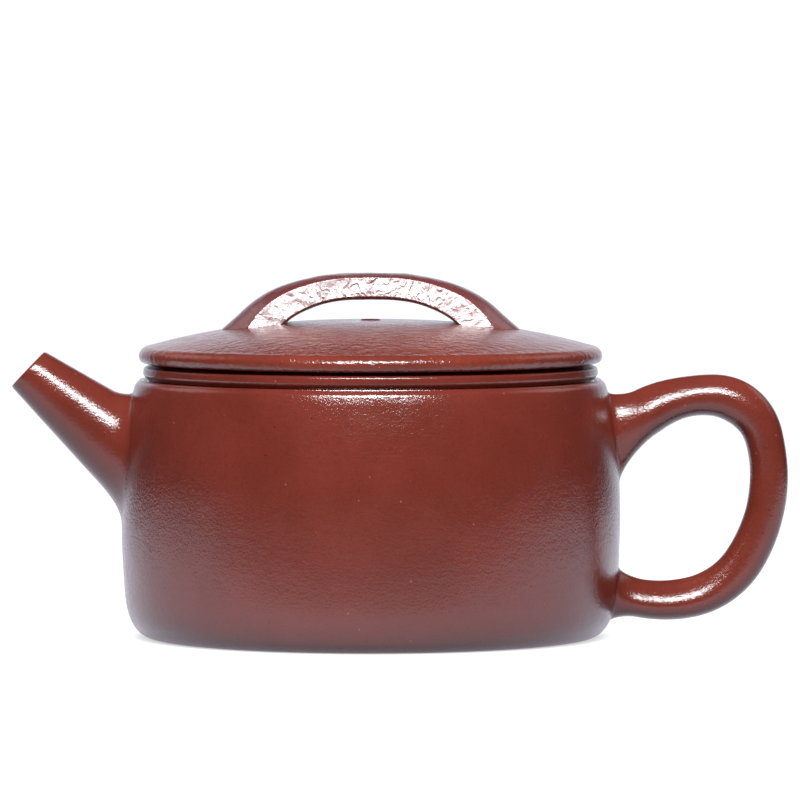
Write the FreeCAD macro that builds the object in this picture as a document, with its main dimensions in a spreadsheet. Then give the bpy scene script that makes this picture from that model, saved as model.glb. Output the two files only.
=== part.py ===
import FreeCAD, Part
import math
import os
import Sketcher
from FreeCAD import Placement, Rotation, Vector

# A yixing clay teapot, built up from the slabs, strips, cone and coil of clay that a
# potter lutes together.  Millimetres, +Z up, origin on the pot's axis at the plane it
# stands on.  The spout points along -X and the handle along +X.

SIZES = [
    # body: a beaten slab cylinder, widest at the belly
    ("wall", 2.6, "thickness of the rolled clay slab"),
    ("belly_radius", 46.75, "widest outside radius"),
    ("belly_height", 24.0, "height of the widest place"),
    ("lower_wall_arc", 147.9, "curve of the wall below the belly"),
    ("upper_wall_arc", 107.1, "curve of the wall above the belly"),
    ("heel_radius", 45.45, "outside radius where the wall meets the base"),
    ("heel_height", 4.43, "height where the wall meets the base"),
    ("heel_round", 5.0, "rounding of the bottom edge"),
    ("standing_radius", 40.45, "outer radius of the standing ring"),
    ("press_radius", 38.0, "inner radius of the standing ring"),
    ("press_slope", 2.0, "width of the slope up to the pressed-in middle"),
    ("press_depth", 1.0, "how far the middle of the base is pressed in"),
    ("floor_height", 3.4, "inside floor"),
    ("floor_radius", 41.6, "edge of the flat inside floor"),
    # shoulder and mouth
    ("shoulder_radius", 44.55, "outside radius at the top of the wall"),
    ("shoulder_low", 45.6, "top of the wall, underside of the shoulder slab"),
    ("shoulder_high", 48.3, "top of the shoulder slab"),
    ("shoulder_round", 2.0, "rounding of the shoulder edge"),
    ("shoulder_flat", 42.5, "radius where the rounding meets the flat"),
    ("round_height", 46.3, "height where the rounding starts"),
    ("round_radius", 44.45, "radius where the rounding starts"),
    ("mouth_radius", 38.5, "clear opening"),
    ("ring_radius", 42.6, "outside of the mouth ring"),
    ("ring_round", 0.9, "rounding of its two edges"),
    ("seat_height", 51.4, "top of the mouth ring, where the lid rests"),
    # lid
    ("flange_radius", 38.1, "outside of the flange, 0.4 clear of the mouth"),
    ("flange_inside", 35.5, "inside of the flange"),
    ("flange_tip", 42.4, "lower edge of the flange"),
    ("flange_bevel", 0.6, "bevel of its lower edges"),
    ("lid_radius", 43.4, "widest radius of the lid"),
    ("rim_height", 52.75, "height of the widest place, where the two slabs meet"),
    ("rim_under_round", 1.35, "rounding under the rim"),
    ("rim_over_round", 1.5, "rounding over the rim"),
    ("dome_edge_radius", 42.24, "radius where the dome starts"),
    ("dome_edge_height", 54.21, "height where the dome starts"),
    ("dome_arc", 174.5, "curve of the dome outside"),
    ("dome_top", 59.4, "outside top of the dome"),
    ("dome_inner_edge", 39.0, "edge of the hollow under the dome"),
    ("dome_inner_arc", 181.0, "curve of the hollow under the dome"),
    ("dome_inner_top", 57.0, "top of the hollow under the dome"),
    ("vent_top", 1.6, "radius of the air hole outside"),
    ("vent_bottom", 1.2, "radius of the air hole inside"),
    # bridge knob
    ("knob_reach", 30.0, "half length of the strip before it is fitted to the dome"),
    ("knob_base", 55.0, "a height below the dome surface, where the strip is cut"),
    ("knob_toe", 56.0, "height of the toe of each foot"),
    ("knob_shoulder", 21.7, "where the bridge turns down into its feet"),
    ("knob_shoulder_height", 63.1, "height of that turn"),
    ("knob_top_arc", 47.9, "curve over the bridge"),
    ("knob_span", 15.9, "half span of the gap under the bridge"),
    ("knob_spring", 58.9, "height where the underside springs"),
    ("knob_under_arc", 29.5, "curve under the bridge"),
    ("knob_block", 12.0, "half width of the strip before its waist is cut"),
    ("knob_foot_half", 9.4, "half width at the feet"),
    ("knob_waist_arc", 104.6, "curve of the waist seen from above"),
    ("trim", 1.0, "how far a cutting outline runs past the piece"),
    # spout
    ("tip_half", 4.5, "outside radius at the tip"),
    ("throat_half", 5.6, "half height a third of the way down"),
    ("middle_half", 6.7, "half height two thirds of the way down"),
    ("neck_half", 8.1, "half height where the flare starts"),
    ("flare_half", 10.8, "half height of the flare"),
    ("root_half", 14.0, "half height at the root, within the wall"),
    ("bore_tip", 3.1, "bore radius at the tip"),
    ("bore_root", 6.8, "bore radius at the root"),
    ("bore_lead", 1.0, "how far the boring tool starts outside the tip"),
    ("port_radius", 7.0, "hole through the wall"),
    ("port_height", 34.0, "height of that hole"),
    # ball strainer
    ("ball_radius", 9.0, "outside of the strainer dome"),
    ("ball_wall", 1.4, "its thickness"),
    ("ball_centre", 43.2, "distance of its centre from the pot's axis"),
    ("pierce_radius", 0.85, "radius of each pierced hole"),
    ("pierce_spread", 22.0, "angle between one ring of holes and the next"),
    # handle: the web and root on the wall, then five runs of the coil, each a curve, a turn
    # and a half thickness at its end
    ("web_half", 10.2, "half height of the web, within the wall"),
    ("ear_half", 7.4, "half height where the web leaves the wall"),
    ("start_half", 4.6, "half thickness where the coil starts"),
    ("crown_arc", 22.8, "curve over the top"),
    ("crown_turn", 28.7, "its turn"),
    ("crown_half", 3.85, "half thickness at its end"),
    ("bend_arc", 11.0, "tight bend at the top outside"),
    ("bend_turn", 74.0, "its turn"),
    ("bend_half", 3.65, "half thickness at its end"),
    ("back_arc", 29.0, "long curve down the back"),
    ("back_turn", 46.0, "its turn"),
    ("back_half", 3.65, "half thickness at its end"),
    ("heel_arc", 15.5, "bend at the bottom outside"),
    ("heel_turn", 45.0, "its turn"),
    ("heel_half", 3.6, "half thickness at its end"),
    ("sole_arc", 24.0, "curve along the bottom back to the pot"),
    ("sole_turn", 42.0, "its turn"),
    ("sole_half", 4.4, "half thickness at its end, within the wall"),
]

# Sections across the spout: size name, place in x and z, lean, and width over height
SPOUT_STATIONS = [
    ("tip", -63.7, 50.1, 43.6, 0.999),
    ("throat", -58.7, 45.8, 38.5, 0.99),
    ("middle", -53.35, 41.6, 38.5, 0.98),
    ("neck", -49.65, 38.2, 19.9, 0.94),
    ("flare", -46.6, 35.6, 8.5, 0.88),
    ("root", -44.25, 32.45, 5.1, 0.86),
]
STRAINER_RINGS = [1, 6, 12, 18]
HANDLE_ROOTS = [
    ("web", 43.9, 36.1, -5.1, 0.62),
    ("ear", 47.5, 38.6, -6.0, 0.72),
]
HANDLE_RUNS = ["crown", "bend", "back", "heel", "sole"]
HANDLE_START = Vector(52.0, 0, 42.6)
HANDLE_HEADING = 28.7
START_SLIMNESS = 0.9
COIL_SLIMNESS = 0.97

doc = FreeCAD.newDocument("yixing_clay_teapot")
sheet = doc.addObject("Spreadsheet::Sheet", "Sizes")
for row, (alias, value, note) in enumerate(SIZES, start=1):
    sheet.set("A%d" % row, alias)
    sheet.set("B%d" % row, str(value))
    sheet.set("C%d" % row, note)
    sheet.setAlias("B%d" % row, alias)
doc.recompute()

parts = {}


def terms(formula):
    """Split a sum such as 'ring_radius - ring_round' into signed words."""
    sign = 1
    for word in formula.split():
        if word in ("+", "-"):
            sign = 1 if word == "+" else -1
        elif word.startswith("-"):
            yield -1, word[1:]
        else:
            yield sign, word


def number(formula):
    """The value of such a sum."""
    total = 0.0
    for sign, word in terms(formula):
        total += sign * (float(word) if word[0].isdigit() else getattr(sheet, word))
    return total


def binding(formula):
    """The same sum as an expression on the sheet's cells."""
    pieces = []
    for sign, word in terms(formula):
        cell = word if word[0].isdigit() else "Sizes." + word
        pieces.append(("-" if sign < 0 else "+") + " " + cell)
    return " ".join(pieces).removeprefix("+ ")


def new_body(name):
    return doc.addObject("PartDesign::Body", name)


def bent_edge(here, there, curve):
    """A line, or an arc written as 'left cell' or 'right cell', between two points."""
    if curve is None:
        return Part.LineSegment(here, there), 1, 2
    side, cell = curve.split()
    radius = number(cell)
    chord = there - here
    across = Vector(-chord.y, chord.x, 0).normalize()
    if side == "right":
        across = -across
    rise = math.sqrt(radius ** 2 - (chord.Length / 2) ** 2)
    centre = here + chord * 0.5 + across * rise
    ends = [math.atan2(point.y - centre.y, point.x - centre.x) for point in (here, there)]
    if side == "right":
        ends.reverse()
    arc = Part.ArcOfCircle(Part.Circle(centre, Vector(0, 0, 1), radius), *ends)
    return arc, (1 if side == "left" else 2), (2 if side == "left" else 1)


def sketch_outline(body, name, plane_role, corners):
    """A closed outline; each corner is (across, up) or (across, up, curve to the next)."""
    sketch = body.newObject("Sketcher::SketchObject", name)
    plane = [item for item in body.Origin.OriginFeatures if item.Role == plane_role][0]
    sketch.AttachmentSupport = (plane, [""])
    sketch.MapMode = "FlatFace"
    add_outline(sketch, corners)
    return sketch


def add_outline(sketch, corners):
    """Draw the outline and tie every corner and every radius to the sheet."""
    corners = [(corner + (None,))[:3] for corner in corners]
    spots = [Vector(number(across), number(up), 0) for across, up, curve in corners]
    first = sketch.GeometryCount
    ends = []
    for index, (across, up, curve) in enumerate(corners):
        edge, start, end = bent_edge(spots[index], spots[(index + 1) % len(spots)], curve)
        sketch.addGeometry(edge, False)
        ends.append((start, end))
    for index, (across, up, curve) in enumerate(corners):
        before = (index - 1) % len(corners)
        here = (first + index, ends[index][0])
        sketch.addConstraint(
            Sketcher.Constraint("Coincident", first + before, ends[before][1], *here))
        for kind, axis, formula in (("DistanceX", -2, across), ("DistanceY", -1, up)):
            if formula == "0":
                sketch.addConstraint(Sketcher.Constraint("PointOnObject", *here, axis))
                continue
            rule = Sketcher.Constraint(kind, -1, 1, *here, number(formula))
            place = sketch.addConstraint(rule)
            sketch.setExpression("Constraints[%d]" % place, binding(formula))
        if curve is not None:
            cell = curve.split()[1]
            place = sketch.addConstraint(
                Sketcher.Constraint("Radius", first + index, number(cell)))
            sketch.setExpression("Constraints[%d]" % place, binding(cell))


def turned(name, corners):
    """A body turned about the pot's axis from an outline of (radius, height)."""
    body = new_body(name)
    sketch = sketch_outline(body, name + "_outline", "XZ_Plane", corners)
    turn = body.newObject("PartDesign::Revolution", name + "_turn")
    turn.Profile = sketch
    turn.ReferenceAxis = (sketch, ["V_Axis"])
    turn.Angle = 360
    body.Tip = turn
    return body


def cut(name, base, tool):
    """What is left of one shape after another is taken away."""
    piece = doc.addObject("Part::Cut", name)
    piece.Base = base
    piece.Tool = tool
    return piece


def section(name, centre, lean, half, slimness):
    """An ellipse across a spout or handle; its top leans towards +X by `lean` degrees."""
    ring = doc.addObject("Part::Ellipse", name)
    ring.setExpression("MajorRadius", half)
    ring.setExpression("MinorRadius", "(%s) * %s" % (half, slimness))
    upright = Rotation(Vector(0, 1, 0), -90)
    tilt = Rotation(Vector(0, 1, 0), lean)
    ring.Placement = Placement(centre, tilt.multiply(upright))
    return ring


def sections(limb, stations):
    """The sections of one limb, from its table of places."""
    rings = []
    for station, x, z, lean, slimness in stations:
        half = "Sizes.%s_half" % station
        name = "%s_%s" % (limb, station)
        rings.append(section(name, Vector(x, 0, z), lean, half, slimness))
    return rings


def loft(name, rings):
    skin = doc.addObject("Part::Loft", name)
    skin.Sections = rings
    skin.Solid = True
    skin.Ruled = False
    return skin


def keep(node, piece):
    """Name a finished sub-part for its file."""
    piece.Label = node
    parts[node] = piece


# ---------------------------------------------------------------- body of the pot

def make_forms():
    """The pot's whole outside and whole inside, used to fit what is luted to the wall."""
    outside = turned("outer_form", [
        ("0", "0"), ("standing_radius", "0", "left heel_round"),
        ("heel_radius", "heel_height", "left lower_wall_arc"),
        ("belly_radius", "belly_height", "left upper_wall_arc"),
        ("shoulder_radius", "shoulder_low"), ("round_radius", "round_height", "left shoulder_round"),
        ("shoulder_flat", "shoulder_high"), ("0", "shoulder_high")])
    inside = turned("inner_form", [
        ("0", "floor_height"), ("floor_radius", "floor_height"),
        ("heel_radius - wall", "heel_height", "left lower_wall_arc"),
        ("belly_radius - wall", "belly_height", "left upper_wall_arc"),
        ("shoulder_radius - wall", "shoulder_low"), ("0", "shoulder_low")])
    return outside, inside


def make_base():
    keep("base_plate", turned("base", [
        ("0", "press_depth"), ("press_radius - press_slope", "press_depth"),
        ("press_radius", "0"), ("standing_radius", "0", "left heel_round"),
        ("heel_radius", "heel_height"), ("heel_radius - wall", "heel_height"),
        ("floor_radius", "floor_height"), ("0", "floor_height")]))


def make_wall():
    """The slab cylinder, with the round port that lets tea into the spout."""
    body = turned("wall_strip", [
        ("heel_radius", "heel_height", "left lower_wall_arc"),
        ("belly_radius", "belly_height", "left upper_wall_arc"),
        ("shoulder_radius", "shoulder_low"),
        ("shoulder_radius - wall", "shoulder_low", "right upper_wall_arc"),
        ("belly_radius - wall", "belly_height", "right lower_wall_arc"),
        ("heel_radius - wall", "heel_height")])
    port = doc.addObject("Part::Cylinder", "spout_port")
    port.setExpression("Radius", "Sizes.port_radius")
    port.setExpression("Height", "Sizes.belly_radius + Sizes.wall")
    port.setExpression("Placement.Base.z", "Sizes.port_height")
    port.Placement.Rotation = Rotation(Vector(0, 1, 0), -90)
    keep("body_wall", cut("pierced_wall", body, port))


def make_shoulder():
    keep("shoulder_plate", turned("shoulder", [
        ("mouth_radius", "shoulder_low"), ("shoulder_radius", "shoulder_low"),
        ("round_radius", "round_height", "left shoulder_round"),
        ("shoulder_flat", "shoulder_high"), ("mouth_radius", "shoulder_high")]))


def make_mouth_ring():
    keep("mouth_ring", turned("ring", [
        ("mouth_radius", "shoulder_high"),
        ("ring_radius - ring_round", "shoulder_high", "left ring_round"),
        ("ring_radius", "shoulder_high + ring_round"),
        ("ring_radius", "seat_height - ring_round", "left ring_round"),
        ("ring_radius - ring_round", "seat_height"), ("mouth_radius", "seat_height")]))


# ---------------------------------------------------------------- lid

def make_lid():
    keep("lid_flange", turned("flange", [
        ("flange_inside + flange_bevel", "flange_tip"),
        ("flange_radius - flange_bevel", "flange_tip"),
        ("flange_radius", "flange_tip + flange_bevel"), ("flange_radius", "seat_height"),
        ("flange_inside", "seat_height"), ("flange_inside", "flange_tip + flange_bevel")]))
    keep("lid_underplate", turned("underplate", [
        ("flange_inside", "seat_height"),
        ("lid_radius - rim_under_round", "seat_height", "left rim_under_round"),
        ("lid_radius", "rim_height"), ("flange_inside", "rim_height")]))
    keep("lid_dome", turned("dome", [
        ("dome_inner_edge", "rim_height"), ("lid_radius", "rim_height", "left rim_over_round"),
        ("dome_edge_radius", "dome_edge_height", "left dome_arc"), ("vent_top", "dome_top"),
        ("vent_bottom", "dome_inner_top", "right dome_inner_arc")]))


def make_knob():
    """A flat strip bent into a low bridge, waisted in the middle, standing on the dome."""
    body = new_body("knob_strip")
    bridge = sketch_outline(body, "bridge_outline", "XZ_Plane", [
        ("-knob_reach", "knob_base"), ("-knob_span", "knob_base"),
        ("-knob_span", "knob_spring", "right knob_under_arc"), ("knob_span", "knob_spring"),
        ("knob_span", "knob_base"), ("knob_reach", "knob_base"), ("knob_reach", "knob_toe"),
        ("knob_shoulder", "knob_shoulder_height", "left knob_top_arc"),
        ("-knob_shoulder", "knob_shoulder_height"), ("-knob_reach", "knob_toe")])
    pad = body.newObject("PartDesign::Pad", "bridge_pad")
    pad.Profile = bridge
    pad.Midplane = True
    pad.setExpression("Length", "2 * Sizes.knob_block")
    doc.recompute()
    waist = sketch_outline(body, "waist_outline", "XY_Plane", [
        ("-knob_reach - trim", "-knob_block - trim"),
        ("knob_reach + trim", "-knob_block - trim"),
        ("knob_reach + trim", "-knob_foot_half", "left knob_waist_arc"),
        ("-knob_reach - trim", "-knob_foot_half")])
    add_outline(waist, [
        ("knob_reach + trim", "knob_block + trim"),
        ("-knob_reach - trim", "knob_block + trim"),
        ("-knob_reach - trim", "knob_foot_half", "left knob_waist_arc"),
        ("knob_reach + trim", "knob_foot_half")])
    pocket = body.newObject("PartDesign::Pocket", "waist_pocket")
    pocket.Profile = waist
    pocket.Type = "ThroughAll"
    pocket.Reversed = True
    body.Tip = pocket
    below_dome = turned("below_dome", [
        ("0", "shoulder_high"), ("lid_radius", "shoulder_high"),
        ("lid_radius", "dome_edge_height"),
        ("dome_edge_radius", "dome_edge_height", "left dome_arc"), ("vent_top", "dome_top"),
        ("0", "dome_top")])
    keep("bridge_knob", cut("fitted_knob", body, below_dome))


# ---------------------------------------------------------------- spout and strainer

def make_spout(outside):
    """A rolled cone of clay that flares into the wall, bored from end to end."""
    fitted = cut("fitted_spout", loft("spout_skin", sections("spout", SPOUT_STATIONS)), outside)
    tip = Vector(SPOUT_STATIONS[0][1], 0, SPOUT_STATIONS[0][2])
    way_in = port_centre() - tip
    bore = doc.addObject("Part::Cone", "spout_bore")
    bore.setExpression("Radius1", "Sizes.bore_tip")
    bore.setExpression("Radius2", "Sizes.bore_root")
    bore.setExpression("Height", "%f + Sizes.bore_lead" % way_in.Length)
    start = tip - Vector(way_in).normalize() * number("bore_lead")
    bore.Placement = Placement(start, Rotation(Vector(0, 0, 1), way_in))
    keep("spout", cut("bored_spout", fitted, bore))


def port_centre():
    """Centre of the strainer ball, on the axis of the port."""
    return Vector(-number("ball_centre"), 0, number("port_height"))


def make_strainer(inside):
    """A small pierced dome over the port, on the inside of the wall."""
    centre = port_centre()
    balls = []
    for name, radius in (("ball", "Sizes.ball_radius"),
                         ("ball_hollow", "Sizes.ball_radius - Sizes.ball_wall")):
        ball = doc.addObject("Part::Sphere", name)
        ball.setExpression("Radius", radius)
        ball.Placement = Placement(centre, Rotation())
        balls.append(ball)
    shell = cut("ball_shell", *balls)
    holes = []
    for ring, count in enumerate(STRAINER_RINGS):
        for step in range(count):
            hole = doc.addObject("Part::Cylinder", "pierce_%d_%d" % (ring, step))
            hole.setExpression("Radius", "Sizes.pierce_radius")
            hole.setExpression("Height", "3 * Sizes.ball_wall")
            spread = Rotation(Vector(0, 1, 0), 90 - ring * number("pierce_spread"))
            around = Rotation(Vector(1, 0, 0), 360.0 * step / count)
            aim = around.multiply(spread)
            start = Vector(0, 0, number("ball_radius - ball_wall - ball_wall"))
            hole.Placement = Placement(centre + aim.multVec(start), aim)
            holes.append(hole)
    all_holes = doc.addObject("Part::Compound", "pierced_holes")
    all_holes.Links = holes
    pierced = cut("pierced_shell", shell, all_holes)
    piece = doc.addObject("Part::Common", "fitted_strainer")
    piece.Base = pierced
    piece.Tool = inside
    keep("ball_strainer", piece)


# ---------------------------------------------------------------- handle

def handle_places():
    """Centre, heading and half thickness at the start, middle and end of each run."""
    point = Vector(HANDLE_START)
    heading = HANDLE_HEADING
    previous = "Sizes.start_half"
    places = [(point, heading, previous)]
    for run in HANDLE_RUNS:
        radius = number(run + "_arc")
        turn = number(run + "_turn")
        facing = math.radians(heading)
        centre = point + Vector(math.sin(facing), 0, -math.cos(facing)) * radius
        final = "Sizes.%s_half" % run
        for share in (0.5, 1.0):
            now = math.radians(heading - turn * share)
            place = centre + Vector(-math.sin(now), 0, math.cos(now)) * radius
            size = final if share == 1.0 else "(%s + %s) / 2" % (previous, final)
            places.append((place, heading - turn * share, size))
        point = places[-1][0]
        heading -= turn
        previous = final
    return places


def make_handle(outside):
    """A rolled coil bent into an ear, with a deep web where it leaves the shoulder."""
    rings = sections("handle", HANDLE_ROOTS)
    for index, (place, heading, half) in enumerate(handle_places()):
        name = "handle_%02d" % index
        slimness = COIL_SLIMNESS if index > 0 else START_SLIMNESS
        rings.append(section(name, place, -heading, half, slimness))
    keep("handle", cut("fitted_handle", loft("handle_skin", rings), outside))


outer_form, inner_form = make_forms()
make_base()
make_wall()
make_shoulder()
make_mouth_ring()
make_spout(outer_form)
make_strainer(inner_form)
make_handle(outer_form)
make_lid()
make_knob()
doc.recompute()

for item in doc.Objects:
    if "Invalid" in item.State or "Error" in item.State:
        raise RuntimeError("%s did not compute" % item.Name)

os.makedirs("parts", exist_ok=True)
for node, piece in parts.items():
    if piece.Shape.isNull() or not piece.Shape.isValid():
        raise RuntimeError("%s has no valid shape" % node)
    piece.Shape.exportStep("parts/%s.step" % node)
    box = piece.Shape.BoundBox
    print("%-16s %2d solid(s) %9.1f mm3  x %6.1f %6.1f  y %6.1f %6.1f  z %6.1f %6.1f" % (
        node, len(piece.Shape.Solids), piece.Shape.Volume,
        box.XMin, box.XMax, box.YMin, box.YMax, box.ZMin, box.ZMax))
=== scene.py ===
import math

import bpy
import numpy as np
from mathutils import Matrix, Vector, noise


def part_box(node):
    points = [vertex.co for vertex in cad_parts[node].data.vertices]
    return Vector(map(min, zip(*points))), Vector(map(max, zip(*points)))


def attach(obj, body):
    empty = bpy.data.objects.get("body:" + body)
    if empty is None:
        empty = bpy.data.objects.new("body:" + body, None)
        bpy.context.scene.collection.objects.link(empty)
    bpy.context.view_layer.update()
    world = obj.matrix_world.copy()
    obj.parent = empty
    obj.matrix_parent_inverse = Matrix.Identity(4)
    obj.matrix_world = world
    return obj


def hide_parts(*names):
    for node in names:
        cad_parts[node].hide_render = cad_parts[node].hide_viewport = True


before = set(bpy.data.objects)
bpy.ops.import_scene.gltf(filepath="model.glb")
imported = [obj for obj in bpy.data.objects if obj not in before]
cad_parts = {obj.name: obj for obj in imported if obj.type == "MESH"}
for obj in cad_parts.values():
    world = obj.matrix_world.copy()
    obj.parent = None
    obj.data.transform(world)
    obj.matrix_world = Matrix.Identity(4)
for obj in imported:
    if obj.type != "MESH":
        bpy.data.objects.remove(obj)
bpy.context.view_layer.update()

# A small yixing teapot of burnished red clay.  Outlines are in millimetres, (radius or x,
# height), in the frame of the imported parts, and become metres when a mesh is made.
MM = 0.001


def reach(node):
    """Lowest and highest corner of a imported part, in millimetres."""
    low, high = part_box(node)
    return low / MM, high / MM


# ------------------------------------------------------------------ sizes

WALL_FOOT = reach("body_wall")[0].z
WALL_TOP = reach("body_wall")[1].z
BELLY = reach("body_wall")[1].x
SHOULDER_TOP = reach("shoulder_plate")[1].z
RING = reach("mouth_ring")[1].x
SEAT = reach("mouth_ring")[1].z
LID = reach("lid_dome")[1].x
RIM = reach("lid_dome")[0].z
CROWN = reach("lid_dome")[1].z
FLANGE = reach("lid_flange")[1].x
FLANGE_TIP = reach("lid_flange")[0].z

CLAY = 2.6               # thickness of the rolled slab
BELLY_HEIGHT = 24.0      # where the wall is widest
UPPER_ARC = 108.0        # curve of the wall above the belly
LOWER_ARC = 190.0        # and below it
HEEL_HEIGHT = 9.0        # the bottom edge rounds in over this height
HEEL_DEPTH = 5.0         # and by this much
HEEL_FULLNESS = 2.6      # 2 is an ellipse, more is squarer
MOUTH = 38.5             # clear opening
FLANGE_WALL = 2.6        # thickness of the ring under the lid
PORT_RADIUS = 7.0        # hole through the wall behind the spout
PORT_HEIGHT = 34.0       # height of its middle
ROUND_STEPS = 512        # points round the body


# ------------------------------------------------------------------ outlines and shells

def turn(start, corner, end, steps=14, fullness=0.56):
    """A smooth curve from start to end; the straight lines at its ends meet at corner."""
    t = np.linspace(0, 1, steps + 1)[:, None]
    first, middle, last = (np.array(point, float) for point in (start, corner, end))
    out = first + fullness * (middle - first)
    back = last + fullness * (middle - last)
    s = 1 - t
    return s ** 3 * first + 3 * s * s * t * out + 3 * s * t * t * back + t ** 3 * last


def line(start, end, steps=1):
    """Evenly spaced points from start to end."""
    return np.linspace(np.array(start, float), np.array(end, float), steps + 1)


def outline(*stretches):
    """Stretches joined into one row of points, with no point twice."""
    points = np.vstack(stretches)
    gaps = np.linalg.norm(np.diff(points, axis=0), axis=1)
    return points[np.append(True, gaps > 1e-6)]


def swell(points, size, seed, count=16):
    """A smooth value at each point, mostly from -1 to 1, with swells about size across."""
    draw = np.random.default_rng(seed)
    total = np.zeros(len(points))
    for _ in range(count):
        direction = draw.normal(size=3)
        direction *= 2 * math.pi / (size * draw.uniform(0.7, 1.6) * np.linalg.norm(direction))
        total += np.sin(points @ direction + draw.uniform(0, 2 * math.pi))
    return total / math.sqrt(count)


def hand_sway(points):
    """Moves points a little in and out, as a hand-beaten wall does.  It is one field for
    the whole pot, so parts that meet still meet."""
    depth = 0.05 * swell(points, 34, 3) + 0.012 * swell(points, 9, 5)
    across = np.linalg.norm(points[:, :2], axis=1)
    outward = points[:, :2] / np.maximum(across, 1.0)[:, None]
    moved = points.copy()
    moved[:, :2] += outward * depth[:, None]
    return moved


def volume(points, quads):
    """Signed volume of a closed mesh of quads, positive when its faces point outwards."""
    a, b, c, d = (points[quads[:, k]] for k in range(4))
    halves = np.einsum("ij,ij->i", a, np.cross(b, c)) + np.einsum("ij,ij->i", a, np.cross(c, d))
    return halves.sum() / 6


def shell(name, rings, loop=False, sharp=42):
    """A closed mesh through rings of points.  loop joins the last ring to the first; if
    not, each end is closed with a fan."""
    rings = np.asarray(rings, float)
    count, around = rings.shape[:2]
    points = rings.reshape(-1, 3)
    row = np.arange(count if loop else count - 1)[:, None]
    column = np.arange(around)[None, :]
    here, above, beside = row * around, (row + 1) % count * around, (column + 1) % around
    quads = np.stack([here + column, here + beside, above + beside, above + column], -1)
    quads = quads.reshape(-1, 4)
    faces = quads.tolist()
    if not loop:
        ends = [rings[0].mean(0), rings[-1].mean(0)]
        first, last = len(points), len(points) + 1
        final = (count - 1) * around
        for j in range(around):
            k = (j + 1) % around
            faces.append([first, k, j])
            faces.append([last, final + j, final + k])
        points = np.vstack([points, ends])
    if volume(points, quads) < 0:
        faces = [face[::-1] for face in faces]
    mesh = bpy.data.meshes.new(name)
    mesh.from_pydata((points * MM).tolist(), [], faces)
    mesh.validate()
    return dress(name, mesh, sharp)


def dress(name, mesh, sharp):
    """Puts a mesh in the scene, smooth except across its real edges."""
    mesh.shade_smooth()
    mesh.set_sharp_from_angle(angle=math.radians(sharp))
    piece = bpy.data.objects.new(name, mesh)
    bpy.context.scene.collection.objects.link(piece)
    return piece


def circle_rings(points, steps=ROUND_STEPS):
    """Each (radius, height) turned into a ring of points round the pot's axis."""
    angles = np.linspace(0, 2 * math.pi, steps, endpoint=False)
    points = np.asarray(points)
    radius = points[:, 0][:, None]
    height = np.repeat(points[:, 1][:, None], steps, 1)
    return np.stack([radius * np.cos(angles), radius * np.sin(angles), height], -1)


def lathed(name, points, loop=True):
    """An outline turned about the pot's axis, with the sway of a hand-made wall."""
    rings = circle_rings(points)
    swayed = hand_sway(rings.reshape(-1, 3)).reshape(rings.shape)
    return shell(name, swayed, loop)


# ------------------------------------------------------------------ body of the pot

def wall_radius(height):
    """Outside radius of the barrel-sided wall, down to its rounded bottom edge."""
    rise = np.asarray(height, float) - BELLY_HEIGHT
    sweep = np.where(rise > 0, UPPER_ARC, LOWER_ARC)
    radius = BELLY - sweep + np.sqrt(sweep ** 2 - rise ** 2)
    low = np.clip(1 - np.asarray(height) / HEEL_HEIGHT, 0, 1)
    return radius - HEEL_DEPTH * (1 - (1 - low ** HEEL_FULLNESS) ** (1 / HEEL_FULLNESS))


def wall_line(low, high, steps):
    """Evenly spaced (radius, height) up the outside of the wall."""
    heights = np.linspace(low, high, steps + 1)
    return np.stack([wall_radius(heights), heights], 1)


def beaten_wall():
    """The slab strip beaten round into a barrel, with the port behind the spout."""
    inner = wall_line(WALL_FOOT, WALL_TOP, 60)[::-1]
    inner[:, 0] = wall_radius(np.maximum(inner[:, 1], HEEL_HEIGHT)) - CLAY
    wall = lathed("beaten_wall", outline(wall_line(WALL_FOOT, WALL_TOP, 96), inner))
    drill = shell("drill", tube_rings(PORT_RADIUS, -BELLY - CLAY, -BELLY / 2))
    hole = wall.modifiers.new("port", "BOOLEAN")
    hole.operation = "DIFFERENCE"
    hole.solver = "EXACT"
    hole.object = drill
    mesh = evaluated(wall)
    bpy.data.objects.remove(drill)
    bpy.data.objects.remove(wall)
    return dress("beaten_wall", mesh, 42)


def tube_rings(radius, near, far):
    """Two rings of a plain tube along X at the height of the port."""
    angles = np.linspace(0, 2 * math.pi, 64, endpoint=False)
    across, up = radius * np.cos(angles), PORT_HEIGHT + radius * np.sin(angles)
    return [np.stack([np.full(len(angles), x), across, up], 1) for x in (near, far)]


def evaluated(piece):
    """The piece's mesh with its modifiers applied."""
    graph = bpy.context.evaluated_depsgraph_get()
    return bpy.data.meshes.new_from_object(piece.evaluated_get(graph))


def pressed_base():
    """The bottom slab: rounded edge, flat standing ring, middle pressed in."""
    floor, press, stand = 3.4, 1.0, 40.4
    heel = np.linspace(0, 1, 25) ** 2 * WALL_FOOT
    edge = np.stack([wall_radius(heel), heel], 1)
    inside = wall_radius(HEEL_HEIGHT) - CLAY
    return lathed("pressed_base", outline(
        line((0.6, press), (34.5, press), 22),
        turn((34.5, press), (36.6, press), (37.2, press / 2), 6),
        turn((37.2, press / 2), (37.8, 0), (38.6, 0), 6), line((38.6, 0), (stand, 0), 3), edge,
        line((wall_radius(WALL_FOOT), WALL_FOOT), (inside, WALL_FOOT), 2),
        turn((inside, WALL_FOOT), (inside - 0.1, floor), (inside - 1.6, floor), 6),
        line((inside - 1.6, floor), (0.6, floor), 22)), loop=False)


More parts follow.
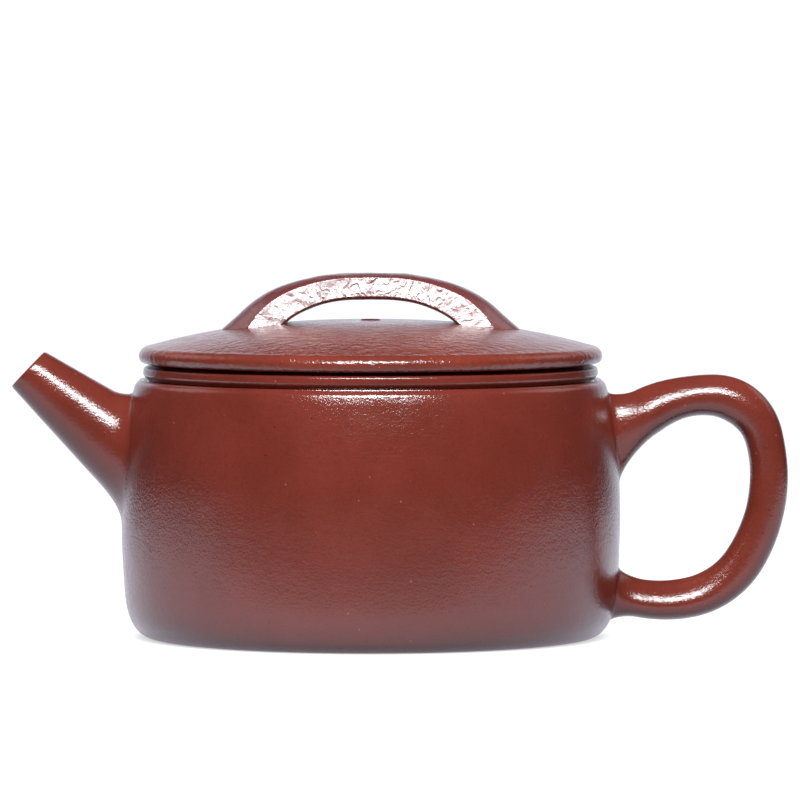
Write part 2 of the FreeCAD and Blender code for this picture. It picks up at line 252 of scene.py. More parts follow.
def shoulder_slab():
    """The flat slab that closes the wall: it rounds over slowly, then ends in a fine lip and
    a groove beside the ring."""
    base, lip = wall_radius(WALL_TOP), RING + 0.75
    bend = (base - 0.44, SHOULDER_TOP - 1.1)
    return lathed("shoulder_slab", outline(
        line((MOUTH, WALL_TOP), (base, WALL_TOP), 5),
        turn((base, WALL_TOP), (base - 0.17, SHOULDER_TOP - 1.9), bend, 8),
        turn(bend, (bend[0] - 0.21, SHOULDER_TOP - 0.49), (lip, SHOULDER_TOP - 0.22), 14),
        line((lip, SHOULDER_TOP - 0.22), (lip - 0.09, SHOULDER_TOP), 2),
        line((lip - 0.09, SHOULDER_TOP), (RING + 0.15, SHOULDER_TOP), 2),
        turn((RING + 0.15, SHOULDER_TOP), (RING - 0.3, SHOULDER_TOP - 0.05),
             (RING - 0.5, SHOULDER_TOP - 0.45), 5),
        line((RING - 0.5, SHOULDER_TOP - 0.45), (RING - 1.0, SHOULDER_TOP), 2),
        line((RING - 1.0, SHOULDER_TOP), (MOUTH, SHOULDER_TOP), 4)))


def mouth_band():
    """The raised ring that the lid rests on: undercut at its foot, upright outside, and cut
    back along its upper edge."""
    low = SHOULDER_TOP + 1.2
    return lathed("mouth_band", outline(
        line((MOUTH, SHOULDER_TOP), (RING - 1.0, SHOULDER_TOP), 3),
        line((RING - 1.0, SHOULDER_TOP), (RING - 0.85, SHOULDER_TOP + 0.1), 1),
        turn((RING - 0.85, SHOULDER_TOP + 0.1), (RING - 0.05, SHOULDER_TOP + 0.6),
             (RING, low), 10),
        turn((RING, low), (RING, SEAT - 1.6), (RING - 0.08, SEAT - 1.1), 8),
        turn((RING - 0.08, SEAT - 1.1), (RING - 0.15, SEAT - 0.68), (RING - 0.6, SEAT - 0.64), 10),
        line((RING - 0.6, SEAT - 0.64), (RING - 2.2, SEAT), 3),
        line((RING - 2.2, SEAT), (MOUTH + 0.5, SEAT), 3),
        turn((MOUTH + 0.5, SEAT), (MOUTH, SEAT), (MOUTH, SEAT - 0.5), 5)))


# ------------------------------------------------------------------ lid

def dome_height(radius):
    """Top of the lid: nearly flat in the middle, falling faster towards the rim."""
    fall, at = 2.0, 29.1
    return CROWN - fall * (np.asarray(radius, float) / at) ** 2.47


def domed_slab():
    """The upper slab of the lid, with its air hole and the upper half of the rim."""
    edge = LID - 2.0
    radii = np.linspace(edge, 2.1, 60)
    hollow = np.linspace(1.2, 39.0, 30)
    under = np.stack([hollow, 57.0 - hollow ** 2 / 358], 1)
    return lathed("domed_slab", outline(
        line((39.0, RIM), (LID, RIM), 3),
        turn((LID, RIM), (LID, dome_height(LID) + 0.35), (edge, dome_height(edge)), 16, 0.6),
        np.stack([radii, dome_height(radii)], 1),
        turn((2.1, CROWN), (1.9, CROWN), (1.8, CROWN + 0.17), 5),
        turn((1.8, CROWN + 0.17), (1.65, CROWN + 0.22), (1.5, CROWN), 4),
        turn((1.5, CROWN), (1.3, CROWN - 0.4), (1.2, CROWN - 1.2), 4), under))


def rim_slab():
    """The flat slab under the dome, with the lower half of the rim."""
    inside = FLANGE - FLANGE_WALL
    return lathed("rim_slab", outline(
        line((inside, SEAT), (LID - 2.6, SEAT), 6),
        line((LID - 2.6, SEAT), (LID - 1.0, SEAT + 0.1), 3),
        turn((LID - 1.0, SEAT + 0.1), (LID - 0.05, SEAT + 0.14), (LID, RIM), 14, 0.66),
        line((LID, RIM), (inside, RIM), 6)))


def flange_ring():
    """The deep ring that holds the lid in the mouth, with softened edges."""
    inside, soft, top = FLANGE - FLANGE_WALL, 0.7, SEAT - 0.02
    return lathed("flange_ring", outline(
        turn((inside, FLANGE_TIP + soft), (inside, FLANGE_TIP), (inside + soft, FLANGE_TIP), 6),
        turn((FLANGE - soft, FLANGE_TIP), (FLANGE, FLANGE_TIP), (FLANGE, FLANGE_TIP + soft), 6),
        line((FLANGE, FLANGE_TIP + soft), (FLANGE, top), 12),
        line((FLANGE, top), (inside, top), 2),
        line((inside, top), (inside, FLANGE_TIP + soft), 12)))


# ------------------------------------------------------------------ bridge knob

def eased(places, values, at):
    """Smooth values between a few given ones."""
    places, values, at = (np.asarray(item, float) for item in (places, values, at))
    slopes = np.gradient(values, places)
    k = np.clip(np.searchsorted(places, at, side="right") - 1, 0, len(places) - 2)
    gap = places[k + 1] - places[k]
    t = np.clip((at - places[k]) / gap, 0, 1)
    return ((2 * t ** 3 - 3 * t ** 2 + 1) * values[k] + (t ** 3 - 2 * t ** 2 + t) * gap * slopes[k]
            + (3 * t ** 2 - 2 * t ** 3) * values[k + 1] + (t ** 3 - t ** 2) * gap * slopes[k + 1])


# Half of the bridge from its middle to one foot: (x, height) of the ridge along its top,
# of the upper edge of its face, and of its underside.
STATIONS = (0, 0.2, 0.4, 0.58, 0.72, 0.84, 0.93, 1.0)
RIDGE = ((0, 68.3), (7.0, 68.05), (13.4, 66.85), (18.6, 65.0), (22.1, 62.85), (25.2, 60.1),
         (27.6, 58.0), (29.4, 56.5))
BROW = ((0, 67.65), (6.6, 67.3), (12.6, 66.0), (17.2, 64.0), (20.2, 61.8), (22.1, 59.6),
        (23.2, 57.9), (23.9, 56.7))
UNDER = ((0, 63.6), (4.6, 63.45), (8.7, 62.75), (12.0, 61.55), (14.2, 60.4), (15.7, 59.3),
         (16.6, 58.4), (17.1, 57.6))
# The faces lean back as they rise: half width at a height, and its loss per mm of rise.
FACE_TOP, FACE_HALF, FACE_LEAN = 67.7, 3.95, 0.31


def bridge_knob():
    """A strip of clay bent into a low bridge: faces pinched to a crinkle, top smoothed."""
    along = np.linspace(-1, 1, 481)
    share = np.abs(along)
    side = np.where(along < 0, -1.0, 1.0)

    def track(rows):
        x, z = (eased(STATIONS, [row[k] for row in rows], share) for k in (0, 1))
        return np.stack([x * side, z], 1)

    ridge, brow, under = track(RIDGE), track(BROW), track(UNDER)
    rings = np.array([knob_section(*places) for places in zip(ridge, brow, under)])
    points = crinkled(rings.reshape(-1, 3))
    return shell("bridge_strip", points.reshape(rings.shape), sharp=75)


def knob_section(ridge, brow, under):
    """One closed section of the bridge: round underside, flat faces, crowned top."""
    brow_half, under_half = (FACE_HALF + FACE_LEAN * (FACE_TOP - edge[1])
                             for edge in (brow, under))
    up = brow - under
    height = np.linalg.norm(up)
    up = up / height
    crown = np.linalg.norm(ridge - brow)
    lean = (ridge - brow) / max(crown, 1e-6)
    belly, soft, crisp = 0.35, 0.45, 0.18
    lean_in = (under_half - brow_half) / height
    low, high = under_half - lean_in * soft, brow_half + lean_in * crisp
    width, start = brow_half - 0.25, 0.06 * crown
    half = outline(
        line((0, -belly), (under_half * 0.6, -belly * 0.75), 6),
        turn((under_half * 0.6, -belly * 0.75), (under_half, 0), (low, soft), 12),
        line((low, soft), (high, height - crisp), 26),
        turn((high, height - crisp), (brow_half, height), (width, height + start), 6))
    front = np.stack([under[0] + up[0] * half[:, 1], half[:, 0], under[1] + up[1] * half[:, 1]], 1)
    share = np.linspace(0, 1, 19)[1:]
    rise = start + (crown - start) * (1 - (1 - share) ** 2)
    top = np.stack([brow[0] + lean[0] * rise, width * (1 - share), brow[1] + lean[1] * rise], 1)
    front = np.vstack([front, top])
    return np.vstack([front, front[-2:0:-1] * (1, -1, 1)])


def crinkled(points):
    """Clay that was pinched and beaten: low facets, and creases that run across the arch."""
    moved = hand_sway(points)
    facet, spacing, reach_across = 2.6, 1.25, 3.0
    arch_centre, face_start = 38.0, 2.5
    for k, (x, y, z) in enumerate(points):
        around = math.atan2(x, z - arch_centre)
        across = math.hypot(x, z - arch_centre)
        spot = Vector((around * across / spacing, across / reach_across, y))
        crease = math.exp(-(noise.noise(spot) / 0.09) ** 2)
        fine = math.exp(-(noise.noise(spot * 1.9 + Vector((5, 9, 2))) / 0.1) ** 2)
        low = noise.noise(Vector((x, y, z)) / facet)
        depth = 0.19 * low - 0.06 * crease - 0.025 * fine
        face = min(max((abs(y) - face_start) / 1.0, 0), 1)
        moved[k, 1] += math.copysign(depth * face, y)
        moved[k, 2] += 0.3 * depth * (1 - face)
    return moved


# ------------------------------------------------------------------ roots on the wall

def on_wall(across, height, side, inset=0.0):
    """Points on the wall's outer surface; side is -1 towards the spout, +1 the handle."""
    radius = wall_radius(height) - inset
    x = side * np.sqrt(radius ** 2 - across ** 2)
    return np.stack([x, across, height], -1)


def root_flare(ring, heading, foot, centre, steps, pull, spread):
    """Rings that carry a limb's last ring smoothly out onto the wall.  pull is how far they
    first run on along the limb, and spread how far they then run out along the wall."""
    reach_to = np.linalg.norm(foot - ring, axis=1)[:, None]
    outward = foot - centre
    upright = np.stack([foot[:, 0], foot[:, 1], np.zeros(len(foot))], 1)
    upright /= np.linalg.norm(upright, axis=1)[:, None]
    outward -= upright * np.einsum("ij,ij->i", outward, upright)[:, None]
    outward /= np.linalg.norm(outward, axis=1)[:, None]
    rings = []
    for t in np.linspace(0, 1, steps + 1)[1:]:
        rings.append((2 * t ** 3 - 3 * t ** 2 + 1) * ring
                     + (t ** 3 - 2 * t ** 2 + t) * pull * reach_to * heading
                     + (3 * t ** 2 - 2 * t ** 3) * foot
                     + (t ** 3 - t ** 2) * spread * reach_to * outward)
    return rings


# ------------------------------------------------------------------ spout and strainer

TIP = np.array((-64.15, 0, 50.25))
SPOUT_FALL = math.radians(38.5)      # the bore's slope down into the pot
TIP_HALF, BORE_HALF = 4.5, 3.1       # outside and inside radius at the tip
TAPER_TOP, TAPER_UNDER = 0.155, 0.17    # growth of the radius along it, above and below
NECK_TOP, NECK_UNDER = 14.3, 19.0    # length of the plain cone above and below
TIP_LEAN = 0.09                      # how far the trimmed tip leans from square
SPOUT_FOOT = 33.7                    # height of the middle of its foot on the wall
FOOT_WIDE, FOOT_TALL = 11.2, 12.5    # half width and half height of that foot
SUNK = 0.35                          # how far its edge is sunk in the wall


def flared_spout():
    """A rolled cone that flares into the wall, with a trimmed lip and an open bore."""
    angles = np.linspace(0, 2 * math.pi, 160, endpoint=False)
    sine, cosine = np.sin(angles), np.cos(angles)
    inward = np.array((math.cos(SPOUT_FALL), 0, -math.sin(SPOUT_FALL)))
    above = np.array((math.sin(SPOUT_FALL), 0, math.cos(SPOUT_FALL)))
    taper = (TAPER_TOP + TAPER_UNDER) / 2 + (TAPER_TOP - TAPER_UNDER) / 2 * sine

    def cone(radius, length):
        """Points at a radius and a length from the trimmed tip, down the spout."""
        start = TIP_LEAN * radius * sine
        return (TIP + np.outer(start + length, inward) + np.outer(radius * sine, above)
                + np.outer(radius * cosine, (0, 1, 0)))

    neck = (NECK_TOP + NECK_UNDER) / 2 + (NECK_TOP - NECK_UNDER) / 2 * sine
    rings = []
    for share in np.linspace(0.04, 1, 34):
        rings.append(cone(TIP_HALF + taper * neck * share, neck * share))
    ahead = inward + taper[:, None] * (np.outer(sine, above) + np.outer(cosine, (0, 1, 0)))
    foot = on_wall(FOOT_WIDE * cosine, SPOUT_FOOT + FOOT_TALL * sine, -1)
    centre = on_wall(np.array(0.0), np.array(PORT_HEIGHT), -1)
    rings += root_flare(rings[-1], ahead, foot, centre, 30, 0.9, 0.85)
    rings.append(on_wall((FOOT_WIDE + 0.2) * cosine, SPOUT_FOOT + (FOOT_TALL + 0.1) * sine, -1,
                         SUNK))
    port = on_wall(PORT_RADIUS * cosine, PORT_HEIGHT + PORT_RADIUS * sine, -1, SUNK)
    rings.append(port)
    bore = cone(BORE_HALF, np.full(len(angles), 0.9))
    rings += [port + (bore - port) * share for share in np.linspace(0.12, 1, 9)]
    lip = ((BORE_HALF + 0.04, 0.45), (BORE_HALF + 0.3, 0.1), (BORE_HALF + 0.6, 0.0),
           (TIP_HALF - 0.32, 0.0), (TIP_HALF - 0.1, 0.1), (TIP_HALF, 0.32))
    rings += [cone(radius, np.full(len(angles), length)) for radius, length in lip]
    rings = np.array(rings)
    swayed = hand_sway(rings.reshape(-1, 3)).reshape(rings.shape)
    return shell("flared_spout", swayed, loop=True)


def input_of(modifier, name, value):
    """Sets a Geometry Nodes modifier's named input."""
    for item in modifier.node_group.interface.items_tree:
        if item.item_type == "SOCKET" and item.in_out == "INPUT" and item.name == name:
            modifier[item.identifier] = value


def add_node(tree, kind, settings=None, inputs=None, links=None):
    """One node with its settings, its input values and the links into it."""
    node = tree.nodes.new(kind)
    for key, value in (settings or {}).items():
        setattr(node, key, value)
    for key, value in (inputs or {}).items():
        node.inputs[key].default_value = value
    for key, source in (links or {}).items():
        tree.links.new(source, node.inputs[key])
    return node


def pierced_ball(material):
    """The ball strainer: a thin dome with rings of round holes, cut by Geometry Nodes."""
    ball, thin, spread = 9.0, 1.4, math.radians(22)
    hole, holes_in_rings = 0.85, (1, 6, 12, 18)
    tilt = np.linspace(0, math.pi / 2, 40)
    outer = np.stack([ball * np.sin(tilt), ball * np.cos(tilt)], 1)[1:]
    inner = outer[::-1] * (1 - thin / ball)
    dome = shell("ball_dome", circle_rings(outline(outer, inner), 128))
    tree = bpy.data.node_groups.new("pierce_holes", "GeometryNodeTree")
    tree.interface.new_socket("Geometry", in_out="INPUT", socket_type="NodeSocketGeometry")
    tree.interface.new_socket("Geometry", in_out="OUTPUT", socket_type="NodeSocketGeometry")
    for name in ("Dome Radius", "Hole Radius", "Ring Spacing"):
        tree.interface.new_socket(name, in_out="INPUT", socket_type="NodeSocketFloat")
    tree.interface.new_socket("Clay", in_out="INPUT", socket_type="NodeSocketMaterial")
    given = add_node(tree, "NodeGroupInput").outputs
    join = add_node(tree, "GeometryNodeJoinGeometry")
    for ring, count in enumerate(holes_in_rings):
        angle = add_node(tree, "ShaderNodeMath", {"operation": "MULTIPLY"}, {1: ring},
                         {0: given["Ring Spacing"]}).outputs[0]
        wide, high = (
            add_node(tree, "ShaderNodeMath", {"operation": "MULTIPLY"}, None, {
                0: add_node(tree, "ShaderNodeMath", {"operation": way}, None,
                            {0: angle}).outputs[0],
                1: given["Dome Radius"]}).outputs[0] for way in ("SINE", "COSINE"))
        circle = add_node(tree, "GeometryNodeMeshCircle", None, {"Vertices": max(count, 3)},
                          {"Radius": wide})
        lift = add_node(tree, "ShaderNodeCombineXYZ", None, None, {"Z": high})
        placed = add_node(tree, "GeometryNodeTransform", None, None, {
            "Geometry": circle.outputs["Mesh"], "Translation": lift.outputs[0]})
        tree.links.new(placed.outputs[0], join.inputs[0])
    merged = add_node(tree, "GeometryNodeMergeByDistance", None, {"Distance": 0.1 * MM},
                      {"Geometry": join.outputs[0]})
    place = add_node(tree, "GeometryNodeInputPosition")
    aim = add_node(tree, "FunctionNodeAlignRotationToVector", {"axis": "Z"}, None,
                   {"Vector": place.outputs[0]})
    awl = add_node(tree, "GeometryNodeMeshCylinder", None,
                   {"Vertices": 20, "Depth": 4 * thin * MM}, {"Radius": given["Hole Radius"]})
    awls = add_node(tree, "GeometryNodeInstanceOnPoints", None, None, {
        "Points": merged.outputs[0], "Instance": awl.outputs["Mesh"],
        "Rotation": aim.outputs[0]})
    solid_awls = add_node(tree, "GeometryNodeRealizeInstances", None, None,
                          {0: awls.outputs[0]})
    cut = add_node(tree, "GeometryNodeMeshBoolean",
                   {"operation": "DIFFERENCE", "solver": "EXACT"}, None,
                   {"Mesh 1": given["Geometry"], "Mesh 2": solid_awls.outputs[0]})
    real = add_node(tree, "GeometryNodeRealizeInstances", None, None, {0: cut.outputs[0]})
    clay = add_node(tree, "GeometryNodeSetMaterial", None, None,
                    {"Geometry": real.outputs[0], "Material": given["Clay"]})
    add_node(tree, "NodeGroupOutput", None, None, {0: clay.outputs[0]})
    pierce = dome.modifiers.new("pierce", "NODES")
    pierce.node_group = tree
    input_of(pierce, "Dome Radius", (ball - thin / 2) * MM)
    input_of(pierce, "Hole Radius", hole * MM)
    input_of(pierce, "Ring Spacing", spread)
    input_of(pierce, "Clay", material)
    mesh = evaluated(dome)
    bpy.data.objects.remove(dome)
    points = np.array([vertex.co for vertex in mesh.vertices])
    centre = reach("ball_strainer")[1].x - ball
    placed = np.stack([centre * MM + points[:, 2], points[:, 0],
                       PORT_HEIGHT * MM + points[:, 1]], 1)
    mesh.vertices.foreach_set("co", placed.ravel())
    mesh.update()
    return dress("pierced_ball", mesh, 40)


# ------------------------------------------------------------------ handle

# The coil leaves the shoulder rising, turns over the top and comes back low on the wall.
HANDLE_START = (52.0, 42.4)          # x and height where the plain coil starts
HANDLE_HEADING = 30.0                # degrees that it rises there
# Over the top, round the upper bend, down the back, round the lower bend, in to the wall:
# the radius of each run and the degrees that it turns.
HANDLE_RUNS = ((22.0, 33.0), (10.4, 72.0), (29.0, 48.0), (16.0, 45.0), (25.0, 22.0))
# Along the coil, at these lengths: half thickness, half width, and how much fuller it is
# below than above.
COIL_PLACES = (0, 8, 18, 27, 38, 50, 62, 72)
COIL_HALF = (4.5, 3.8, 4.1, 3.6, 3.6, 3.8, 3.8, 3.6)
COIL_WIDE = (4.3, 4.0, 4.0, 3.9, 3.85, 3.9, 3.85, 4.0)
COIL_SAG = (0.32, 0.16, 0.12, 0.06, 0.05, 0.14, 0.3, 0.3)
# Each root on the wall: height of its middle, half width, half height.
TOP_ROOT = (37.5, 5.2, 8.7)
LOW_ROOT = (7.9, 5.3, 5.4)


def handle_line(spacing=0.55):
    """Evenly spaced (x, z, heading, length so far) along the ear's centre line."""
    x, z = HANDLE_START
    heading, length = math.radians(HANDLE_HEADING), 0.0
    places = [(x, z, heading, length)]
    for radius, degrees in HANDLE_RUNS:
        steps = round(radius * math.radians(degrees) / spacing)
        step = math.radians(degrees) / steps
        for _ in range(steps):
            chord = 2 * radius * math.sin(step / 2)
            x += chord * math.cos(heading - step / 2)
            z += chord * math.sin(heading - step / 2)
            heading -= step
            length += radius * step
            places.append((x, z, heading, length))
    return places


def ear_handle():
    """A rolled coil bent into an ear; its roots are smoothed onto the wall."""
    angles = np.linspace(0, 2 * math.pi, 112, endpoint=False)
    sine, cosine = np.sin(angles), np.cos(angles)
    rings = []
    for x, z, heading, length in handle_line():
        half = eased(COIL_PLACES, COIL_HALF, length)
        wide = eased(COIL_PLACES, COIL_WIDE, length)
        sag = eased(COIL_PLACES, COIL_SAG, length) * math.cos(heading)
        outside = np.array((-math.sin(heading), 0, math.cos(heading)))
        rings.append(np.array((x, 0, z)) + np.outer(half * sine, outside)
                     + np.outer(wide * cosine * (1 - sag * sine), (0, 1, 0)))
    first, last = handle_line()[0], handle_line()[-1]
    (top_height, top_wide, top_tall), (low_height, low_wide, low_tall) = TOP_ROOT, LOW_ROOT
    towards = -np.array((math.cos(first[2]), 0, math.sin(first[2])))
    narrow = np.where(sine < 0, 1 + 0.35 * sine, 1.0)
    top_foot = on_wall(top_wide * cosine * narrow, top_height + top_tall * sine, 1)
    centre = on_wall(np.array(0.0), np.array(39.0), 1)
    upper = root_flare(rings[0], towards, top_foot, centre, 26, 0.95, 0.6)
    onward = np.array((math.cos(last[2]), 0, math.sin(last[2])))
    low_foot = on_wall(low_wide * cosine, low_height - low_tall * sine, 1)
    centre = on_wall(np.array(0.0), np.array(8.0), 1)
    lower = root_flare(rings[-1], onward, low_foot, centre, 22, 0.95, 0.65)
    sunk, more = 0.4, 0.1
    buried_top = on_wall((top_wide + more) * cosine * narrow,
                         top_height + (top_tall + more) * sine, 1, sunk)
    buried_low = on_wall((low_wide + more) * cosine, low_height - (low_tall + more) * sine, 1,
                         sunk)
    rings = [buried_top] + upper[::-1] + rings + lower + [buried_low]
    rings = np.array(rings)
    swayed = hand_sway(rings.reshape(-1, 3))
    swayed[:, 1] += 0.05 * swell(swayed, 16, 21)
    return shell("ear_handle", swayed.reshape(rings.shape), sharp=80)


# ------------------------------------------------------------------ clay

def linear(hex_colour):
    """sRGB hex to the linear colour that shaders take."""
    channels = [int(hex_colour[k:k + 2], 16) / 255 for k in (0, 2, 4)]
    return [c / 12.92 if c <= 0.04045 else ((c + 0.055) / 1.055) ** 2.4 for c in channels] + [1]


def per_mm(size):
    """Noise scale whose features are about size millimetres on Object coordinates."""
    return 1 / (size * MM)


def zisha_clay(name, red, brown, rough=(0.13, 0.2), crinkle=0.035, stroke=0.03, sheen=0.85,
               coat=0.0):
    """Burnished unglazed yixing clay: fine-grained, satin, with a slight crinkle that the
    beating and scraping left, sparse pale grains and darker iron specks."""
    material = bpy.data.materials.new(name)
    material.use_nodes = True
    tree = material.node_tree
    tree.nodes.clear()
    place = add_node(tree, "ShaderNodeTexCoord").outputs["Object"]

    def grain(size, detail=2.0, roughness=0.5, source=place):
        return add_node(tree, "ShaderNodeTexNoise", None, {
            "Scale": per_mm(size), "Detail": detail, "Roughness": roughness},
            {"Vector": source}).outputs["Fac"]

    def ramp(value, low, high, start=0.0, end=1.0):
        return add_node(tree, "ShaderNodeMapRange", {"clamp": True}, {
            "From Min": low, "From Max": high, "To Min": start, "To Max": end},
            {"Value": value}).outputs[0]

    def mixed(share, first, second):
        node = add_node(tree, "ShaderNodeMix", {"data_type": "RGBA"}, None, {0: share})
        for socket, value in ((6, first), (7, second)):
            if isinstance(value, str):
                node.inputs[socket].default_value = linear(value)
            else:
                tree.links.new(value, node.inputs[socket])
        return node.outputs[2]

    # colour: broad firing clouds, then fine darker grain, iron specks and pale grains
    clouds = mixed(ramp(grain(16, 3), 0.35, 0.65), red, brown)
    fine = mixed(ramp(grain(0.7, 3, 0.65), 0.5, 0.72, 0, 0.35), clouds, "5A2018")
    cells = add_node(tree, "ShaderNodeTexVoronoi", None, {"Scale": per_mm(1.9)},
                     {"Vector": place})
    dots = ramp(cells.outputs["Distance"], 0.05, 0.11, 1, 0)
    pick = add_node(tree, "ShaderNodeSeparateColor", None, None, {0: cells.outputs["Color"]})
    pale = add_node(tree, "ShaderNodeMath", {"operation": "MULTIPLY"}, None, {
        0: dots, 1: ramp(pick.outputs[0], 0.86, 0.9)}).outputs[0]
    dark = add_node(tree, "ShaderNodeMath", {"operation": "MULTIPLY"}, None, {
        0: dots, 1: ramp(pick.outputs[1], 0.91, 0.95)}).outputs[0]
    colour = mixed(dark, mixed(ramp(pale, 0, 1, 0, 0.5), fine, "B8775C"), "3A1410")

    # relief: strokes of the scraper, the beaten crinkle and the clay's own tooth
    squeeze = add_node(tree, "ShaderNodeMapping", None, {"Scale": (1, 1, 3.2)},
                       {"Vector": place}).outputs[0]
    bumps = None
    for size, detail, depth, source in ((3.4, 2, stroke, squeeze), (1.6, 3, crinkle, place),
                                        (0.45, 3, 0.06, place)):
        inputs = {"Strength": 1.0, "Distance": depth * MM}
        links = {"Height": grain(size, detail, 0.55, source)}
        if bumps is not None:
            links["Normal"] = bumps
        bumps = add_node(tree, "ShaderNodeBump", None, inputs, links).outputs[0]
    gloss = ramp(grain(5, 3), 0.3, 0.7, *rough)
    shader = add_node(tree, "ShaderNodeBsdfPrincipled", None,
                      {"IOR": 1.5, "Specular IOR Level": sheen, "Coat Weight": coat,
                       "Coat Roughness": 0.28},
                      {"Base Color": colour, "Roughness": gloss, "Normal": bumps})
    add_node(tree, "ShaderNodeOutputMaterial", None, None, {"Surface": shader.outputs[0]})
    return material


# ------------------------------------------------------------------ room, lights, camera

# This section is in metres, apart from the lens.
FLOOR_RADIUS = 0.42
# name, degrees round from the front, degrees up, metres away, width, height, watts
SOFTBOXES = (
    ("front_softbox", 0, 41, 1.3, 0.86, 0.26, 27.0),
    ("left_fill", -120, 35, 1.5, 0.8, 0.6, 1.2),
    ("right_fill", 120, 35, 1.5, 0.8, 0.6, 1.2),
)
DAYLIGHT = (0.92, 0.98, 1.0)         # the lamps' colour, a little cool
LIT_HEIGHT = 0.04                    # the lamps aim at this height on the pot's axis
SHADE_FROM, SHADE_TO = 0.036, 0.0455    # painted contact shadow: the floor's glow dims inwards between these radii
MIRROR_FROM, MIRROR_TO = -0.135, -0.05  # and the painted reflection of its glow fades out between these places
EYE = (0.0055, -1.545, 0.1205)       # where the camera stands, and what it looks at
AIM = (0.0055, 0, 0.0444)
LENS, SENSOR = 371.5, 36             # in mm


def studio():
    """A round pale floor, a wide softbox high in front, and two weak fills from behind."""
    around = np.linspace(0, 2 * math.pi, 96, endpoint=False)
    floor_mesh = bpy.data.meshes.new("floor")
    rim = FLOOR_RADIUS * np.stack([np.cos(around), np.sin(around), 0 * around], 1)
    floor_mesh.from_pydata(rim.tolist(), [], [list(range(len(rim)))])
    floor = bpy.data.objects.new("floor", floor_mesh)
    bpy.context.scene.collection.objects.link(floor)
    floor.data.materials.append(white_paper())
    for name, azimuth, height, distance, width, tall, power in SOFTBOXES:
        light = bpy.data.lights.new(name, "AREA")
        light.shape = "RECTANGLE"
        light.size, light.size_y = width, tall
        light.energy = power
        light.color = DAYLIGHT
        lamp = bpy.data.objects.new(name, light)
        turn_by, lift = math.radians(azimuth), math.radians(height)
        away = Vector((math.sin(turn_by) * math.cos(lift), -math.cos(turn_by) * math.cos(lift),
                       math.sin(lift)))
        lamp.location = Vector((0, 0, LIT_HEIGHT)) + away * distance
        lamp.rotation_euler = away.to_track_quat("Z", "Y").to_euler()
        bpy.context.scene.collection.objects.link(lamp)


def white_paper():
    """A white sheet that glows, with a painted contact shadow: the glow dims towards the
    pot's foot, where the pot also throws a faint real shadow on its dim matt part.  What the
    pot mirrors of the glow is a painted reflection that fades towards the front; the glow
    lights nothing else."""
    paper = bpy.data.materials.new("white_sheet")
    paper.use_nodes = True
    tree = paper.node_tree
    tree.nodes.clear()
    ray = add_node(tree, "ShaderNodeLightPath").outputs
    matt = add_node(tree, "ShaderNodeBsdfDiffuse", None, {"Color": (0.17, 0.17, 0.17, 1)})
    # painted reflection colour: reflected rays see the glow bluish, the camera sees it white
    tint = add_node(tree, "ShaderNodeMix", {"data_type": "RGBA"}, {
        6: (0.82, 0.82, 0.96, 1), 7: (1, 1, 1, 1)}, {0: ray["Is Camera Ray"]}).outputs[2]
    place = add_node(tree, "ShaderNodeTexCoord").outputs["Object"]
    radius = add_node(tree, "ShaderNodeVectorMath", {"operation": "LENGTH"}, None,
                      {0: place}).outputs["Value"]
    # painted contact shadow: the glow dims to nothing towards the pot's foot
    clear = add_node(tree, "ShaderNodeMapRange", None, {
        "From Min": SHADE_FROM, "From Max": SHADE_TO, "To Max": 1.0}, {"Value": radius}).outputs[0]
    front = add_node(tree, "ShaderNodeSeparateXYZ", None, None, {0: place}).outputs[1]
    # painted reflection: the glow that the pot mirrors fades out towards the front
    painted_reflection_fade = add_node(tree, "ShaderNodeMapRange", {"interpolation_type": "SMOOTHSTEP"}, {
        "From Min": MIRROR_FROM, "From Max": MIRROR_TO}, {"Value": front}).outputs[0]
    painted_reflection_level = add_node(tree, "ShaderNodeMath", {"operation": "MULTIPLY"}, None,
                        {0: clear, 1: painted_reflection_fade}).outputs[0]
    # the camera sees the glow with its painted contact shadow, reflections see the painted
    # reflection, matt rays see no glow
    level = add_node(tree, "ShaderNodeMix", {"data_type": "FLOAT"}, None, {
        0: ray["Is Camera Ray"], 2: painted_reflection_level, 3: clear}).outputs[0]
    level = add_node(tree, "ShaderNodeMix", {"data_type": "FLOAT"}, {3: 0.0}, {
        0: ray["Is Diffuse Ray"], 2: level}).outputs[0]
    glow = add_node(tree, "ShaderNodeEmission", None, None, {"Color": tint, "Strength": level})
    both = add_node(tree, "ShaderNodeAddShader", None, None, {
        0: matt.outputs[0], 1: glow.outputs[0]})
    add_node(tree, "ShaderNodeOutputMaterial", None, None, {"Surface": both.outputs[0]})
    return paper


